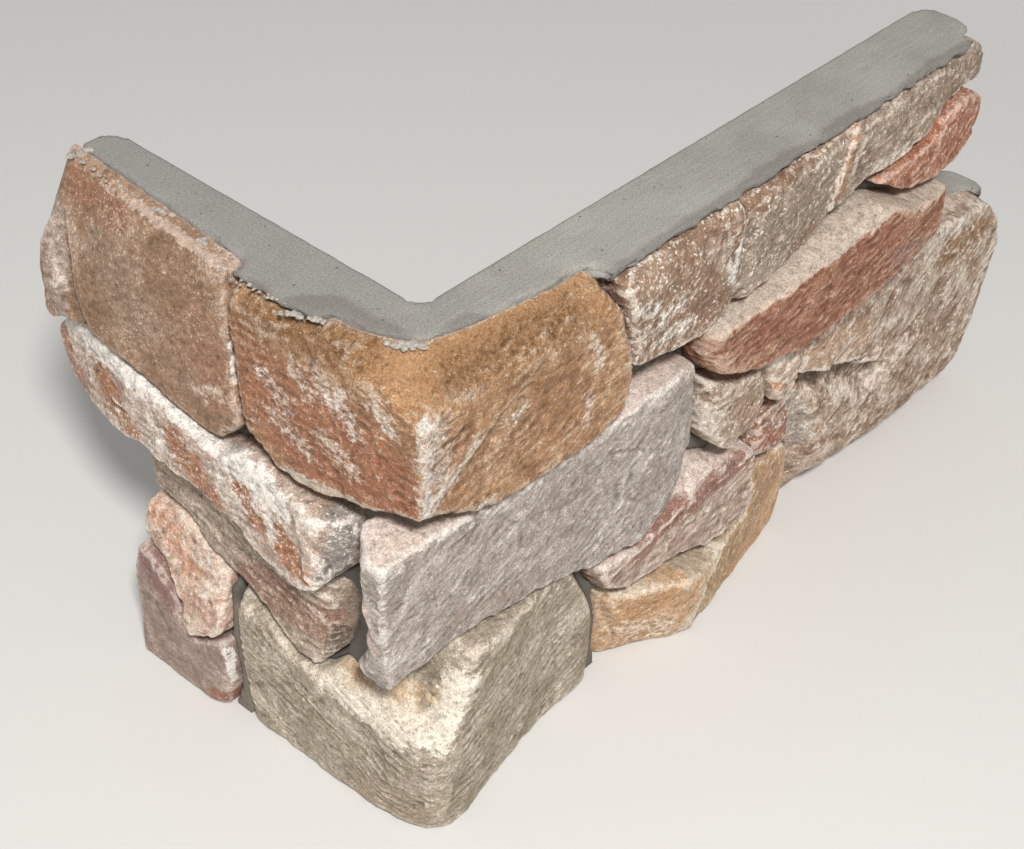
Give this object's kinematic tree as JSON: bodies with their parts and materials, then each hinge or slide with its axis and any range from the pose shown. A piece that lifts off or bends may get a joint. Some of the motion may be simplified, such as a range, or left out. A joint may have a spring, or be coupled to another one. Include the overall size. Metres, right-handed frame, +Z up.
{
  "type": "stone cladding corner piece",
  "caption": "L-shaped wall corner piece of stacked split natural stones seated in a cast concrete backing, with stepped ends that interlock with the next panels.",
  "frame": {"origin": "foot of the wall's corner line, where the two wall faces of the concrete meet the flat underside", "axes": "+X along the long leg, +Y along the short leg, +Z up; the stone faces look towards -Y and -X"},
  "size_m": [0.402, 0.2025, 0.2],
  "materials": {
    "cast_concrete": "matt cast concrete with fine pores",
    "brown_slab_rock": "split face",
    "white_banded_rock": "split face with a white crystalline band",
    "thin_grey_rock": "split face",
    "pink_cream_rock": "split face, grainy",
    "purple_brown_rock": "split face",
    "golden_corner_rock": "split face, coarse",
    "grey_corner_rock": "split face, finely striated",
    "beige_corner_rock": "split face",
    "speckled_top_rock": "split face with white speckles",
    "grey_brown_end_rock": "split face",
    "small_red_rock": "split face",
    "red_brown_rock": "split face with a sandy ledge",
    "beige_block_rock": "split face",
    "small_cream_rock": "split face",
    "small_red_grey_rock": "split face",
    "long_pink_rock": "split face, banded",
    "orange_wedge_rock": "split face",
    "mottled_end_rock": "split face, mottled"
  },
  "bodies": {
    "root": {"concrete_backing": "cast_concrete", "brown_slab_stone": "brown_slab_rock", "white_banded_stone": "white_banded_rock", "thin_grey_stone": "thin_grey_rock", "pink_cream_stone": "pink_cream_rock", "purple_brown_stone": "purple_brown_rock", "golden_corner_stone": "golden_corner_rock", "grey_corner_stone": "grey_corner_rock", "beige_corner_stone": "beige_corner_rock", "speckled_top_stone": "speckled_top_rock", "grey_brown_end_stone": "grey_brown_end_rock", "small_red_stone": "small_red_rock", "red_brown_stone": "red_brown_rock", "beige_block_stone": "beige_block_rock", "small_cream_stone": "small_cream_rock", "small_red_grey_stone": "small_red_grey_rock", "long_pink_stone": "long_pink_rock", "orange_wedge_stone": "orange_wedge_rock", "mottled_end_stone": "mottled_end_rock"}
  },
  "joints": []
}
